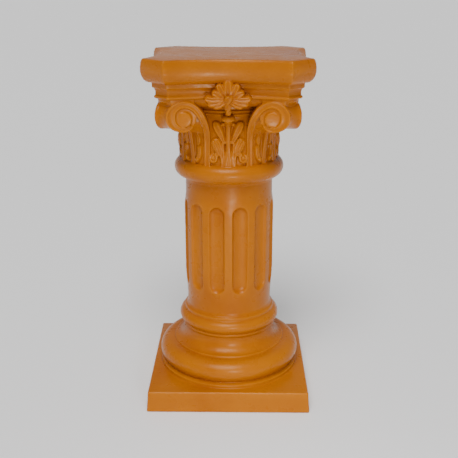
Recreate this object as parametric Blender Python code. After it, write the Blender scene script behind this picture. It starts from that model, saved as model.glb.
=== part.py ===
"""A round column cast as one piece: square plinth, moulded base, fluted shaft, leafed capital.

Metres, +Z up. The origin is the centre of the underside, and the four faces of the capital
look along -Y, +X, +Y and -X. The capital's relief is modelled once, on the face at -Y, and
turned round the other three.
"""

from math import acos, atan2, cos, degrees, pi, radians, sin, sqrt

import bmesh
import bpy
from mathutils import Matrix, Vector

# Plinth
PLINTH_WIDTH = 0.300
PLINTH_HEIGHT = 0.040
PLINTH_DRAFT = 0.0028
PLINTH_EDGE = 0.0020

# Heights of the turned mouldings, from the plinth upwards
DISC_HEIGHT = 0.0062
LOWER_TORUS_HEIGHT = 0.0440
LOWER_FILLET_HEIGHT = 0.0030
SCOTIA_HEIGHT = 0.0314
SCOTIA_WAIST_LEVEL = 0.0257
MIDDLE_FILLET_HEIGHT = 0.0042
UPPER_TORUS_HEIGHT = 0.0270
UPPER_FILLET_HEIGHT = 0.0060
SHAFT_HEIGHT = 0.2620
ASTRAGAL_HEIGHT = 0.0350
BELL_HEIGHT = 0.1205

# Shaft
SHAFT_RADIUS = 0.0846
SHAFT_FOOT_TAPER = 0.0034
SHAFT_NECK_TAPER = 0.0028
SHAFT_FLARE = 0.0022
SWELL_START = 0.0200
SWELL_LENGTH = 0.0600
NECK_START = 0.0300
NECK_LENGTH = 0.0300
FLUTE_COUNT = 12
FLUTE_WIDTH = 0.0270
FLUTE_DEPTH = 0.0065
FLUTE_END_SHARE = 0.62
FLUTE_FOOT_GAP = 0.0480
FLUTE_NECK_GAP = 0.0450

# How far each moulding stands out from the shaft
DISC_PROJECTION = 0.0511
LOWER_TORUS_PROJECTION = 0.0528
LOWER_FILLET_PROJECTION = 0.0234
SCOTIA_WAIST_PROJECTION = 0.0039
MIDDLE_FILLET_PROJECTION = 0.0069
UPPER_TORUS_PROJECTION = 0.0126
UPPER_FILLET_PROJECTION = 0.0024
ASTRAGAL_PROJECTION = 0.0177
BELL_PROJECTION = 0.0036

# Lip of the bell, a ring near its top
LIP_HEIGHT = 0.0080
LIP_PROJECTION = 0.0040
LIP_DROP = 0.0240

# Abacus: a slab with four hollow sides and cut corners
ABACUS_REACH = 0.1480
ABACUS_CUT = 0.0425
ABACUS_HOLLOW = 0.0225
OVOLO_HEIGHT = 0.0400
OVOLO_BELLY_LEVEL = 0.0216
OVOLO_TOP_INSET = 0.0044
OVOLO_BOTTOM_INSET = 0.0130
ABACUS_FILLET_HEIGHT = 0.0080
ABACUS_FILLET_INSET = 0.0155
ABACUS_BAND_HEIGHT = 0.0130
ABACUS_BAND_INSET = 0.0205
ABACUS_RIDGE_HEIGHT = 0.0060
ABACUS_RIDGE_INSET = 0.0190

# Corner scrolls
SCROLL_FACE_INSET = 0.0195
SCROLL_OVERHANG = 0.0045
SCROLL_RADIUS = 0.0263
SCROLL_DROP = 0.0035
SCROLL_RELIEF = 0.0045
BAND_STEM_HALF_WIDTH = 0.0053
BAND_SIDE_HALF_WIDTH = 0.0082
BAND_FOOT_HALF_WIDTH = 0.0038
BAND_END_HALF_WIDTH = 0.0024
BAND_ROOT = 0.0300
SCROLL_TURN_SHIFT = 0.0047
SCROLL_TAIL_RADIUS = 0.0137
EYE_RADIUS = 0.0112
EYE_INWARD = 0.0045
EYE_DROP = 0.0052
EYE_DOME = 0.0025
STEM_OFFSET = 0.0375
STEM_RELIEF = 0.0045
STEM_HEIGHT = 0.0540
STEM_LIFT_START = 0.0430
STEM_LIFT_HEIGHT = 0.0490
ARM_ROOT = 0.0088
ARM_DROP = 0.0118
ARM_END_RISE = 0.0120
DRUM_INSET = 0.0010

# Leaves on the bell
RIB_HEIGHT = 0.0860
RIB_FOOT_HALF_WIDTH = 0.0100
RIB_HALF_WIDTH = 0.0040
LEAF_RELIEF = 0.0065
LOBE_HALF_WIDTH = 0.0062
CURL_RADIUS = 0.0088
CURL_LEVEL = 0.17
TIP_HALF_SIZES = (0.0108, 0.0075, 0.0058)
TIP_LEVEL = 1.02
TIP_FORWARD = 0.0124
DROP_ANGLE = 35.5
DROP_HALF_WIDTH = 0.0034
DROP_RELIEF = 0.0039
TONGUE_FOOT_HALF_WIDTH = 0.0120
TONGUE_HEIGHT = 0.0700
TONGUE_RELIEF = 0.0035

# Middle rib, from its foot up: share of its height, share of the foot's spread, relief
RIB_FOOT = ((-0.04, 1.0, 0.6), (0.06, 0.9, 0.8), (0.18, 0.5, 0.9))
RIB_STALK = ((0.5, 0.0, 1.0), (0.8, 0.12, 1.1), (1.0, 0.2, 1.9))

# Lobes: where each leaves the rib, bends and ends, in half widths and shares of the rib's height
UPPER_LOBE = ((0.5, 0.42), (2.9, 0.58), (4.3, 0.95))
LOWER_LOBE = ((1.2, 0.24), (3.4, 0.30), (4.9, 0.59))

# Side drops: start and end as shares of the rib's height, and shift outward in half widths
SIDE_DROPS = ((0.016, 0.216, -0.2), (0.224, 0.416, 0.1), (0.424, 0.624, 0.6))

# Tongue leaf, from its foot up: share of its height and share of its foot's width
TONGUE_SECTIONS = ((-0.05, 1.0), (0.25, 0.62), (0.55, 0.42), (1.0, 0.3))

# Flower in the middle of each side of the abacus
FLOWER_DROP = 0.0210
FLOWER_FORWARD = 0.0020
PETAL_HALF_WIDTH = 0.0078
PETAL_RELIEF = 0.0050
PETAL_ROOT = 0.0180
PISTIL_LENGTH = 0.0340
PISTIL_RADIUS = 0.0056
PISTIL_LEAN = 0.0180
BOSS_HALF_SIZES = (0.0300, 0.0180, 0.0240)

# Petals: angle in degrees, length, and share of the full width
MIDDLE_PETAL = (90.0, 0.0275, 1.0)
SIDE_PETALS = ((48.0, 0.0265, 0.85), (14.0, 0.0285, 0.85), (-18.0, 0.0385, 1.1))
PETAL_STATIONS = (0.35, 0.6, 0.85, 1.0)

# Pistil, from its top down: share of its length and share of its radius
PISTIL_SECTIONS = ((0.0, 1.0), (0.35, 1.1), (0.7, 0.8), (1.0, 0.45))

# Paint
PAINT_COLOUR = (0.56, 0.19, 0.022, 1.0)
PAINT_ROUGHNESS = 0.42

# How finely round forms are divided
ROUND_STEPS = 36
HOLLOW_STEPS = 6
SWELL_STEPS = 3
EYE_STEPS = 9
SCROLL_STEPS = 18
FLUTE_STEPS = 14
PISTIL_STEPS = 6

# Share of the triangles that is kept, once the joins have cut flat places into many
KEPT_TRIANGLES = 0.57

# Angle in degrees above which an edge is sharp
SHARP_ANGLE = 35.0

# Points closer than this after a join become one
SLIVER = 0.00005

# How far joined forms reach into each other
OVERLAP = 0.0060

FACES = 4

# Levels worked out from the heights
BASE_BOTTOM = PLINTH_HEIGHT
LOWER_TORUS_BOTTOM = BASE_BOTTOM + DISC_HEIGHT
LOWER_FILLET_BOTTOM = LOWER_TORUS_BOTTOM + LOWER_TORUS_HEIGHT
SCOTIA_BOTTOM = LOWER_FILLET_BOTTOM + LOWER_FILLET_HEIGHT
MIDDLE_FILLET_BOTTOM = SCOTIA_BOTTOM + SCOTIA_HEIGHT
UPPER_TORUS_BOTTOM = MIDDLE_FILLET_BOTTOM + MIDDLE_FILLET_HEIGHT
UPPER_FILLET_BOTTOM = UPPER_TORUS_BOTTOM + UPPER_TORUS_HEIGHT
SHAFT_BOTTOM = UPPER_FILLET_BOTTOM + UPPER_FILLET_HEIGHT
ASTRAGAL_BOTTOM = SHAFT_BOTTOM + SHAFT_HEIGHT
BELL_BOTTOM = ASTRAGAL_BOTTOM + ASTRAGAL_HEIGHT
ABACUS_BOTTOM = BELL_BOTTOM + BELL_HEIGHT
ABACUS_BAND_BOTTOM = ABACUS_BOTTOM + ABACUS_RIDGE_HEIGHT
ABACUS_FILLET_BOTTOM = ABACUS_BAND_BOTTOM + ABACUS_BAND_HEIGHT
OVOLO_BOTTOM = ABACUS_FILLET_BOTTOM + ABACUS_FILLET_HEIGHT
ABACUS_TOP = OVOLO_BOTTOM + OVOLO_HEIGHT
BELL_RADIUS = SHAFT_RADIUS + BELL_PROJECTION


def arc(centre, radii, start, end, steps):
    """Points (across, up) on an elliptic arc, by angles in degrees: 0 is outward, 90 is up."""
    angles = [radians(start + (end - start) * i / steps) for i in range(steps + 1)]
    return [(centre[0] + radii[0] * cos(a), centre[1] + radii[1] * sin(a)) for a in angles]


def smooth_step(value):
    """0 below 0, 1 above 1, and a smooth rise between."""
    value = min(max(value, 0.0), 1.0)
    return value * value * (3.0 - 2.0 * value)


def add_solid(mesh, rings):
    """Add one closed solid through a row of rings with equal numbers of points."""
    loops = [[mesh.verts.new(point) for point in ring] for ring in rings]
    faces = [mesh.faces.new(loops[0][::-1]), mesh.faces.new(loops[-1])]
    for near, far in zip(loops, loops[1:]):
        for i in range(len(near)):
            faces.append(mesh.faces.new((near[i - 1], near[i], far[i], far[i - 1])))
    bmesh.ops.recalc_face_normals(mesh, faces=faces)


def add_turned(mesh, profile, steps, centre=(0.0, 0.0)):
    """Add a solid turned round a vertical axis from (radius, height) pairs."""
    turns = [2.0 * pi * i / steps for i in range(steps)]
    x, y = centre
    add_solid(mesh, [[(x + r * cos(t), y + r * sin(t), z) for t in turns] for r, z in profile])


def new_object(name, mesh, collection, copies=1):
    """Finish a mesh and link it as an object, with copies turned evenly about the Z axis."""
    bmesh.ops.triangulate(mesh, faces=[face for face in mesh.faces if len(face.verts) > 3])
    first = mesh.verts[:] + mesh.edges[:] + mesh.faces[:]
    for copy in range(1, copies):
        made = bmesh.ops.duplicate(mesh, geom=first)["geom"]
        points = [item for item in made if isinstance(item, bmesh.types.BMVert)]
        bmesh.ops.rotate(mesh, verts=points, matrix=Matrix.Rotation(2.0 * pi * copy / copies, 3, "Z"))
    data = bpy.data.meshes.new(name)
    mesh.to_mesh(data)
    mesh.free()
    data.shade_smooth()
    data.set_sharp_from_angle(angle=radians(SHARP_ANGLE))
    item = bpy.data.objects.new(name, data)
    collection.objects.link(item)
    return item


def torus_arc(projection, bottom, height, start, end, steps):
    """Half-round moulding whose belly stands out by projection from the shaft."""
    half = height / 2.0
    return arc((SHAFT_RADIUS + projection - half, bottom + half), (half, half), start, end, steps)


def base_profile():
    """Outline of the base mouldings from the plinth up to the shaft."""
    disc = SHAFT_RADIUS + DISC_PROJECTION
    lower_fillet = SHAFT_RADIUS + LOWER_FILLET_PROJECTION
    middle_fillet = SHAFT_RADIUS + MIDDLE_FILLET_PROJECTION
    upper_fillet = SHAFT_RADIUS + UPPER_FILLET_PROJECTION
    waist = SCOTIA_BOTTOM + SCOTIA_WAIST_LEVEL
    scotia_radii = (LOWER_FILLET_PROJECTION - SCOTIA_WAIST_PROJECTION, SCOTIA_WAIST_LEVEL)
    points = [(disc, BASE_BOTTOM - OVERLAP), (disc, LOWER_TORUS_BOTTOM)]
    points += torus_arc(LOWER_TORUS_PROJECTION, LOWER_TORUS_BOTTOM, LOWER_TORUS_HEIGHT, -60, 88, 6)
    points += [(lower_fillet, LOWER_FILLET_BOTTOM), (lower_fillet, SCOTIA_BOTTOM)]
    points += arc((lower_fillet, waist), scotia_radii, 262, 165, 4)
    points += [(middle_fillet, MIDDLE_FILLET_BOTTOM), (middle_fillet, UPPER_TORUS_BOTTOM)]
    points += torus_arc(UPPER_TORUS_PROJECTION, UPPER_TORUS_BOTTOM, UPPER_TORUS_HEIGHT, -62, 72, 5)
    points += [(upper_fillet, UPPER_FILLET_BOTTOM), (upper_fillet, SHAFT_BOTTOM)]
    return points


def shaft_profile():
    """Outline of the shaft: it swells between its foot and its neck, and flares at both ends."""
    foot = SHAFT_RADIUS - SHAFT_FOOT_TAPER
    neck = SHAFT_RADIUS - SHAFT_NECK_TAPER
    points = [(foot + SHAFT_FLARE, SHAFT_BOTTOM + 0.5 * SHAFT_FLARE)]
    points += [(foot, SHAFT_BOTTOM + 3.0 * SHAFT_FLARE)]
    for i in range(SWELL_STEPS + 1):
        share = i / SWELL_STEPS
        level = SHAFT_BOTTOM + SWELL_START + share * SWELL_LENGTH
        points.append((foot + SHAFT_FOOT_TAPER * smooth_step(share), level))
    for i in range(SWELL_STEPS + 1):
        share = i / SWELL_STEPS
        level = ASTRAGAL_BOTTOM - NECK_START - (1.0 - share) * NECK_LENGTH
        points.append((SHAFT_RADIUS - SHAFT_NECK_TAPER * smooth_step(share), level))
    return points + [(neck, ASTRAGAL_BOTTOM - 3.0 * SHAFT_FLARE), (neck + SHAFT_FLARE, ASTRAGAL_BOTTOM)]


def neck_profile():
    """Outline of the astragal and the bell, with the bell's lip, up into the abacus."""
    middle = SHAFT_RADIUS + ASTRAGAL_PROJECTION - ASTRAGAL_HEIGHT / 2.0
    meeting = (BELL_RADIUS - middle) / (ASTRAGAL_HEIGHT / 2.0)
    end = degrees(acos(min(max(meeting, 0.0), 1.0)))
    lip = ABACUS_BOTTOM - LIP_DROP
    points = torus_arc(ASTRAGAL_PROJECTION, ASTRAGAL_BOTTOM, ASTRAGAL_HEIGHT, -84, end, 6)
    points += [(BELL_RADIUS, lip - LIP_HEIGHT)]
    points += [(BELL_RADIUS + LIP_PROJECTION, lip - 0.7 * LIP_HEIGHT)]
    points += [(BELL_RADIUS + LIP_PROJECTION, lip - 0.3 * LIP_HEIGHT)]
    points += [(BELL_RADIUS, lip), (BELL_RADIUS, ABACUS_BOTTOM + OVERLAP)]
    return points


def side_hollow():
    """Radius of the arc that hollows a side of the abacus, and its centre's distance."""
    half_chord = ABACUS_REACH - ABACUS_CUT
    radius = (half_chord ** 2 + ABACUS_HOLLOW ** 2) / (2.0 * ABACUS_HOLLOW)
    return radius, ABACUS_REACH - ABACUS_HOLLOW + radius


def side_depth(x, inset):
    """Distance from the axis to a side of the abacus, inset from its widest outline."""
    radius, distance = side_hollow()
    return distance - sqrt((radius + inset) ** 2 - x ** 2)


def corner_x(inset):
    """Where a side meets the cut corner, measured along the side from its middle."""
    radius, distance = side_hollow()
    cut = (2.0 * ABACUS_REACH - ABACUS_CUT) / 2.0 - inset / sqrt(2.0)
    rest = 2.0 * cut ** 2 - 2.0 * distance * cut + distance ** 2 - (radius + inset) ** 2
    return cut - (distance - sqrt(distance ** 2 - 2.0 * rest)) / 2.0


def abacus_ring(inset, level):
    """Outline of the abacus: four hollow sides joined by the cut corners."""
    reach = corner_x(inset)
    side = [-reach + 2.0 * reach * i / HOLLOW_STEPS for i in range(HOLLOW_STEPS + 1)]
    points = []
    for face in range(FACES):
        turn = Matrix.Rotation(2.0 * pi * face / FACES, 3, "Z")
        points += [turn @ Vector((x, -side_depth(x, inset), level)) for x in side]
    return points


def abacus_profile():
    """Inset and level of each ring of the abacus, from its underside up."""
    belly = OVOLO_BOTTOM + OVOLO_BELLY_LEVEL
    under = arc((OVOLO_BOTTOM_INSET, belly), (OVOLO_BOTTOM_INSET, OVOLO_BELLY_LEVEL), 268, 180, 5)
    over = arc((OVOLO_TOP_INSET, belly), (OVOLO_TOP_INSET, ABACUS_TOP - belly), 150, 90, 3)
    return [
        (ABACUS_BAND_INSET, ABACUS_BOTTOM),
        (ABACUS_RIDGE_INSET, ABACUS_BOTTOM + 0.25 * ABACUS_RIDGE_HEIGHT),
        (ABACUS_RIDGE_INSET, ABACUS_BAND_BOTTOM - 0.25 * ABACUS_RIDGE_HEIGHT),
        (ABACUS_BAND_INSET, ABACUS_BAND_BOTTOM),
        (ABACUS_BAND_INSET, ABACUS_BAND_BOTTOM + 0.55 * ABACUS_BAND_HEIGHT),
        (ABACUS_FILLET_INSET, ABACUS_FILLET_BOTTOM),
        (ABACUS_FILLET_INSET, OVOLO_BOTTOM),
    ] + under + over


def scroll_middle():
    """Centre of a scroll's outer turn on its face: distance along the side, and level."""
    outer = corner_x(ABACUS_BAND_INSET) + SCROLL_OVERHANG
    return outer - SCROLL_RADIUS, ABACUS_BOTTOM - SCROLL_DROP - SCROLL_RADIUS


def scroll_depth(x):
    """Distance from the axis to the face of the scrolls."""
    return side_depth(x, SCROLL_FACE_INSET)


def band_lift(level):
    """Share of the way from the bell to the scroll's face that a rising stem has come."""
    return smooth_step((level - BELL_BOTTOM - STEM_LIFT_START) / STEM_LIFT_HEIGHT)


def band_depth(x, lift):
    """Distance to the front of a scroll's band: low on the bell, then out to the scroll."""
    on_bell = sqrt(max((BELL_RADIUS + STEM_RELIEF) ** 2 - x ** 2, 0.0))
    return on_bell + (scroll_depth(x) - on_bell) * lift


def band_path():
    """Middle line of a band, from its foot to the eye.

    A station is (x, level, half width, thickness, share of the way out to the scroll's face).
    """
    x_middle, level_middle = scroll_middle()
    stem_top = BELL_BOTTOM + STEM_HEIGHT
    top = ABACUS_BOTTOM - SCROLL_DROP - BAND_STEM_HALF_WIDTH
    turn_x = x_middle - SCROLL_TURN_SHIFT
    reach = x_middle + SCROLL_RADIUS - BAND_SIDE_HALF_WIDTH - turn_x
    bottom = level_middle - SCROLL_RADIUS + BAND_FOOT_HALF_WIDTH
    half_turn = (top - bottom) / 2.0
    inner = SCROLL_TAIL_RADIUS
    line = [(STEM_OFFSET, BELL_BOTTOM - OVERLAP)]
    rise = arc((turn_x, stem_top), (turn_x - STEM_OFFSET, top - stem_top), 180, 90, 6)
    round_top = arc((turn_x, top - half_turn), (reach, half_turn), 90, -90, 9)
    tail = arc((turn_x, bottom + inner), (inner, inner), -90, -190, 3)
    stations = []
    for x, level in line + rise[:-1]:
        stations.append((x, level, BAND_STEM_HALF_WIDTH, BAND_ROOT, band_lift(level)))
    for i, (x, level) in enumerate(round_top[:-1]):
        share = i / (len(round_top) - 1)
        plain = BAND_STEM_HALF_WIDTH + (BAND_FOOT_HALF_WIDTH - BAND_STEM_HALF_WIDTH) * share
        half = plain + (BAND_SIDE_HALF_WIDTH - plain) * sin(pi * share) ** 2
        stations.append((x, level, half, SCROLL_RELIEF + OVERLAP, 1.0))
    for i, (x, level) in enumerate(tail):
        share = i / (len(tail) - 1)
        half = BAND_FOOT_HALF_WIDTH + (BAND_END_HALF_WIDTH - BAND_FOOT_HALF_WIDTH) * share
        stations.append((x, level, half, SCROLL_RELIEF + OVERLAP, 1.0))
    return stations


def across(path, i):
    """Unit direction across a flat path at its point i."""
    before = path[max(i - 1, 0)]
    after = path[min(i + 1, len(path) - 1)]
    along = atan2(after[1] - before[1], after[0] - before[0])
    return -sin(along), cos(along)


def add_band(mesh, side):
    """Add one scroll band, on the right (1) or the left (-1) of the face."""
    path = band_path()
    rings = []
    for i, (x, level, half, thickness, lift) in enumerate(path):
        dx, dz = across(path, i)
        ring = []
        for share, back in ((-1, 0), (1, 0), (1, -1), (-1, -1)):
            px = x + dx * half * share
            pz = level + dz * half * share
            depth = band_depth(px, lift)
            if back == -1:
                depth -= thickness
            ring.append((side * px, -depth, pz))
        rings.append(ring)
    add_solid(mesh, rings)


def add_eye(mesh, side):
    """Add the round eye of a scroll."""
    x_middle, level_middle = scroll_middle()
    x = side * (x_middle - EYE_INWARD)
    level = level_middle - EYE_DROP
    turns = [2.0 * pi * i / EYE_STEPS for i in range(EYE_STEPS)]
    rings = []
    for radius, out in ((EYE_RADIUS, -2.0 * OVERLAP), (EYE_RADIUS, 0.0), (0.7 * EYE_RADIUS, EYE_DOME)):
        y = -(scroll_depth(abs(x)) + out)
        rings.append([(x + radius * cos(t), y, level + radius * sin(t)) for t in turns])
    add_solid(mesh, rings)


def arm_recess():
    """How far the arms lie behind the scrolls' faces: they run on from the bell itself."""
    return scroll_depth(0.0) - BELL_RADIUS


def add_corner(mesh, outline, recess):
    """Add a solid at the corner between +X and -Y, from its front outline to the mirrored one."""
    front = [(x, -(scroll_depth(x) - recess), level) for x, level in outline]
    side = [(-y, -x, level) for x, y, level in front]
    add_solid(mesh, [front, side])


def scroll_outline():
    """Outline of the drum between the two faces of a scroll."""
    x_middle, level_middle = scroll_middle()
    radius = SCROLL_RADIUS - DRUM_INSET
    turn = arc((x_middle, level_middle), (radius, radius), 0, 360, SCROLL_STEPS)
    return turn[:-1]


def arm_outline():
    """Outline of the arm that carries a scroll from the bell and the abacus."""
    x_middle, level_middle = scroll_middle()
    low = level_middle - ARM_DROP
    return [
        (ARM_ROOT, low),
        (x_middle, low),
        (x_middle + ARM_END_RISE, level_middle),
        (x_middle + ARM_END_RISE, ABACUS_BOTTOM + OVERLAP),
        (ARM_ROOT, ABACUS_BOTTOM + OVERLAP),
    ]


def on_bell(u, level, out):
    """Point at an arc distance u from the middle of the face, out from the bell."""
    angle = u / BELL_RADIUS
    return Vector(((BELL_RADIUS + out) * sin(angle), -(BELL_RADIUS + out) * cos(angle), level))


def on_flower(u, level, out):
    """Point in front of the middle of the abacus's side."""
    return Vector((u, -(side_depth(0.0, 0.0) - FLOWER_FORWARD - PETAL_RELIEF + out), level))


def add_lobe(mesh, place, path, half_width, relief, sink, tip=0.5):
    """Add a leaf lobe along a path of (across, level), with its end narrowed to a share, tip."""
    last = len(path) - 1
    rings = []
    for i, (u, level) in enumerate(path):
        share = i / last
        half = half_width * (0.45 + 0.55 * sin(pi * share ** 0.8)) * (1.0 - (1.0 - tip) * share ** 4)
        high = relief * (0.7 + 0.3 * sin(pi * share))
        du, dz = across(path, i)
        section = ((-1, -sink), (-0.62, high), (0.62, high), (1, -sink))
        rings.append([place(u + du * half * s, level + dz * half * s, out) for s, out in section])
    add_solid(mesh, rings)


def curve_through(start, bend, end, steps):
    """Points on the quadratic curve from start to end that leans towards bend."""
    points = []
    for i in range(steps + 1):
        t = i / steps
        ends = [(1 - t) ** 2 * a + t * t * b for a, b in zip(start, end)]
        points.append(tuple(a + 2 * t * (1 - t) * b for a, b in zip(ends, bend)))
    return points


def leaf_level(share):
    """Level at a share of the middle rib's height."""
    return BELL_BOTTOM + share * RIB_HEIGHT


def add_rib(mesh):
    """Add the middle rib of the leaf: a spread foot, a slim stalk and a top that leans out."""
    rings = []
    for share, spread, out in RIB_FOOT + RIB_STALK:
        width = RIB_HALF_WIDTH + (RIB_FOOT_HALF_WIDTH - RIB_HALF_WIDTH) * spread
        high = LEAF_RELIEF * out
        section = ((-1, -OVERLAP), (-0.6, 0.8 * high), (0, high), (0.6, 0.8 * high), (1, -OVERLAP))
        rings.append([on_bell(width * s, leaf_level(share), o) for s, o in section])
    add_solid(mesh, rings)


def add_ball(mesh, centre, radii, steps, rows):
    """Add a faceted ellipsoid."""
    bmesh.ops.create_uvsphere(
        mesh, u_segments=steps, v_segments=rows, radius=1.0,
        matrix=Matrix.Translation(centre) @ Matrix.Diagonal((*radii, 1.0)),
    )


def lobe_curve(shape, side):
    """Middle line of a lobe on one side of the rib."""
    points = [(side * across * LOBE_HALF_WIDTH, leaf_level(share)) for across, share in shape]
    return curve_through(*points, 3)


def ornament_leaves(collection):
    """The leaf in the middle of each face: rib, curled tip, two pairs of lobes, two curls."""
    ribs = bmesh.new()
    add_rib(ribs)
    new_object("leaf_ribs", ribs, collection, FACES)
    tips = bmesh.new()
    add_ball(tips, on_bell(0.0, leaf_level(TIP_LEVEL), TIP_FORWARD), TIP_HALF_SIZES, 8, 4)
    new_object("leaf_tips", tips, collection, FACES)
    lobes = bmesh.new()
    curls = bmesh.new()
    for side in (-1, 1):
        for shape in (UPPER_LOBE, LOWER_LOBE):
            add_lobe(lobes, on_bell, lobe_curve(shape, side), LOBE_HALF_WIDTH, LEAF_RELIEF, OVERLAP)
        beside = RIB_FOOT_HALF_WIDTH + 2.0 * CURL_RADIUS
        middle = on_bell(side * beside, leaf_level(CURL_LEVEL), 0.0)
        add_ball(curls, middle, (CURL_RADIUS, LEAF_RELIEF, CURL_RADIUS * 1.3), 8, 4)
    new_object("leaf_lobes", lobes, collection, FACES)
    new_object("leaf_curls", curls, collection, FACES)


def ornament_side_leaves(collection):
    """Slim drops between the scroll stems and the plain tongue leaf under each corner."""
    drops = bmesh.new()
    u = radians(DROP_ANGLE) * BELL_RADIUS
    for side in (-1, 1):
        for low, high, shift in SIDE_DROPS:
            start = (side * (u + shift * DROP_HALF_WIDTH), leaf_level(low))
            end = (side * (u + (shift + 0.4) * DROP_HALF_WIDTH), leaf_level(high))
            bend = ((start[0] + end[0]) / 2 + side * DROP_HALF_WIDTH, (start[1] + end[1]) / 2)
            path = curve_through(start, bend, end, 2)
            add_lobe(drops, on_bell, path, DROP_HALF_WIDTH, DROP_RELIEF, OVERLAP)
    new_object("side_drops", drops, collection, FACES)
    tongues = bmesh.new()
    middle = pi / FACES * BELL_RADIUS
    rings = []
    edge = (0.85, TONGUE_RELIEF)
    section = ((-1, -OVERLAP), (-edge[0], edge[1]), (0, 0.6 * TONGUE_RELIEF), edge, (1, -OVERLAP))
    for share, wide in TONGUE_SECTIONS:
        width = TONGUE_FOOT_HALF_WIDTH * wide
        level = BELL_BOTTOM + share * TONGUE_HEIGHT
        rings.append([on_bell(middle + width * s, level, out) for s, out in section])
    add_solid(tongues, rings)
    new_object("corner_tongues", tongues, collection, FACES)


def add_petal(mesh, level, angle, length, width):
    """Add a petal that leaves the flower's middle, at a level, at an angle in degrees."""
    x = length * cos(radians(angle))
    z = length * sin(radians(angle))
    path = [(share * x, level + share * z) for share in PETAL_STATIONS]
    add_lobe(mesh, on_flower, path, PETAL_HALF_WIDTH * width, PETAL_RELIEF, PETAL_ROOT, 1.5)


def ornament_flowers(collection):
    """The flower on each side of the abacus: boss, seven petals and a hanging pistil."""
    level = OVOLO_BOTTOM - FLOWER_DROP
    boss = bmesh.new()
    depth = side_depth(0.0, ABACUS_BAND_INSET)
    add_ball(boss, (0.0, -depth, level + PETAL_RELIEF), BOSS_HALF_SIZES, 8, 4)
    new_object("flower_bosses", boss, collection, FACES)
    middle_petal = bmesh.new()
    add_petal(middle_petal, level, *MIDDLE_PETAL)
    new_object("middle_petals", middle_petal, collection, FACES)
    for pair, (angle, length, width) in enumerate(SIDE_PETALS):
        petals = bmesh.new()
        add_petal(petals, level, angle, length, width)
        add_petal(petals, level, 180.0 - angle, length, width)
        new_object(f"side_petals_{pair}", petals, collection, FACES)
    pistil = bmesh.new()
    depth = side_depth(0.0, 0.0) - FLOWER_FORWARD
    top = level + PISTIL_RADIUS
    turns = [2.0 * pi * i / PISTIL_STEPS for i in range(PISTIL_STEPS)]
    rings = []
    for share, wide in PISTIL_SECTIONS:
        radius = PISTIL_RADIUS * wide
        y = PISTIL_LEAN * share - depth
        z = top - share * PISTIL_LENGTH
        rings.append([(radius * cos(t), y + 0.9 * radius * sin(t), z) for t in turns])
    add_solid(pistil, rings)
    new_object("pistils", pistil, collection, FACES)


def ornament_scrolls(collection):
    """The corner scrolls: a drum and an arm at each corner, and a band and an eye on each face of it."""
    drums = bmesh.new()
    add_corner(drums, scroll_outline(), SCROLL_RELIEF)
    new_object("scroll_drums", drums, collection, FACES)
    arms = bmesh.new()
    add_corner(arms, arm_outline(), arm_recess())
    new_object("scroll_arms", arms, collection, FACES)
    bands = bmesh.new()
    eyes = bmesh.new()
    for side in (-1, 1):
        add_band(bands, side)
        add_eye(eyes, side)
    new_object("scroll_bands", bands, collection, FACES)
    new_object("scroll_eyes", eyes, collection, FACES)


def ornament_slabs(collection):
    """The square plinth and the abacus."""
    plinth = bmesh.new()
    half = PLINTH_WIDTH / 2.0
    rings = []
    edge = PLINTH_HEIGHT - PLINTH_EDGE
    for reach, level in ((half + PLINTH_DRAFT, 0.0), (half, edge), (half - PLINTH_EDGE, PLINTH_HEIGHT)):
        near = reach - PLINTH_EDGE
        ring = []
        for face in range(FACES):
            turn = Matrix.Rotation(2.0 * pi * face / FACES, 3, "Z")
            ring += [turn @ Vector((-near, -reach, level)), turn @ Vector((near, -reach, level))]
        rings.append(ring)
    add_solid(plinth, rings)
    new_object("plinth", plinth, collection)
    abacus = bmesh.new()
    add_solid(abacus, [abacus_ring(inset, level) for inset, level in abacus_profile()])
    new_object("abacus", abacus, collection)


def flute_cutter(collection):
    """Round-ended cutters for the flutes, with a plain land in the middle of each face."""
    mesh = bmesh.new()
    radius = (FLUTE_WIDTH ** 2 / 4.0 + FLUTE_DEPTH ** 2) / (2.0 * FLUTE_DEPTH)
    distance = SHAFT_RADIUS - FLUTE_DEPTH + radius
    low = SHAFT_BOTTOM + FLUTE_FOOT_GAP + FLUTE_WIDTH / 2.0
    high = ASTRAGAL_BOTTOM - FLUTE_NECK_GAP - FLUTE_WIDTH / 2.0
    first = pi / FLUTE_COUNT
    centre = (distance * sin(first), -distance * cos(first))
    rounding = FLUTE_END_SHARE * FLUTE_WIDTH
    foot = arc((0.0, low), (radius, rounding), -86, 0, 3)
    top = arc((0.0, high), (radius, rounding), 0, 86, 3)
    add_turned(mesh, foot + top, FLUTE_STEPS, centre)
    cutter = new_object("flute_cutter", mesh, collection, FLUTE_COUNT)
    return cutter


def plaster_paint():
    """Satin ochre paint over the whole cast."""
    material = bpy.data.materials.new("ochre_paint")
    material.use_nodes = True
    shader = material.node_tree.nodes["Principled BSDF"]
    shader.inputs["Base Color"].default_value = PAINT_COLOUR
    shader.inputs["Roughness"].default_value = PAINT_ROUGHNESS
    shader.inputs["Metallic"].default_value = 0.0
    return material


def apply_modifiers(item):
    """Give an object its modified mesh for good, without slivers and with its sharp edges marked."""
    evaluated = item.evaluated_get(bpy.context.evaluated_depsgraph_get())
    item.data = bpy.data.meshes.new_from_object(evaluated)
    item.modifiers.clear()
    mesh = bmesh.new()
    mesh.from_mesh(item.data)
    bmesh.ops.remove_doubles(mesh, verts=mesh.verts, dist=SLIVER)
    bmesh.ops.dissolve_degenerate(mesh, edges=mesh.edges, dist=SLIVER)
    bare = [edge for edge in mesh.edges if not edge.link_faces]
    bmesh.ops.delete(mesh, geom=bare, context="EDGES")
    bmesh.ops.triangulate(mesh, faces=[face for face in mesh.faces if len(face.verts) > 3])
    mesh.to_mesh(item.data)
    mesh.free()
    item.data.shade_smooth()
    item.data.set_sharp_from_angle(angle=radians(SHARP_ANGLE))


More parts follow.
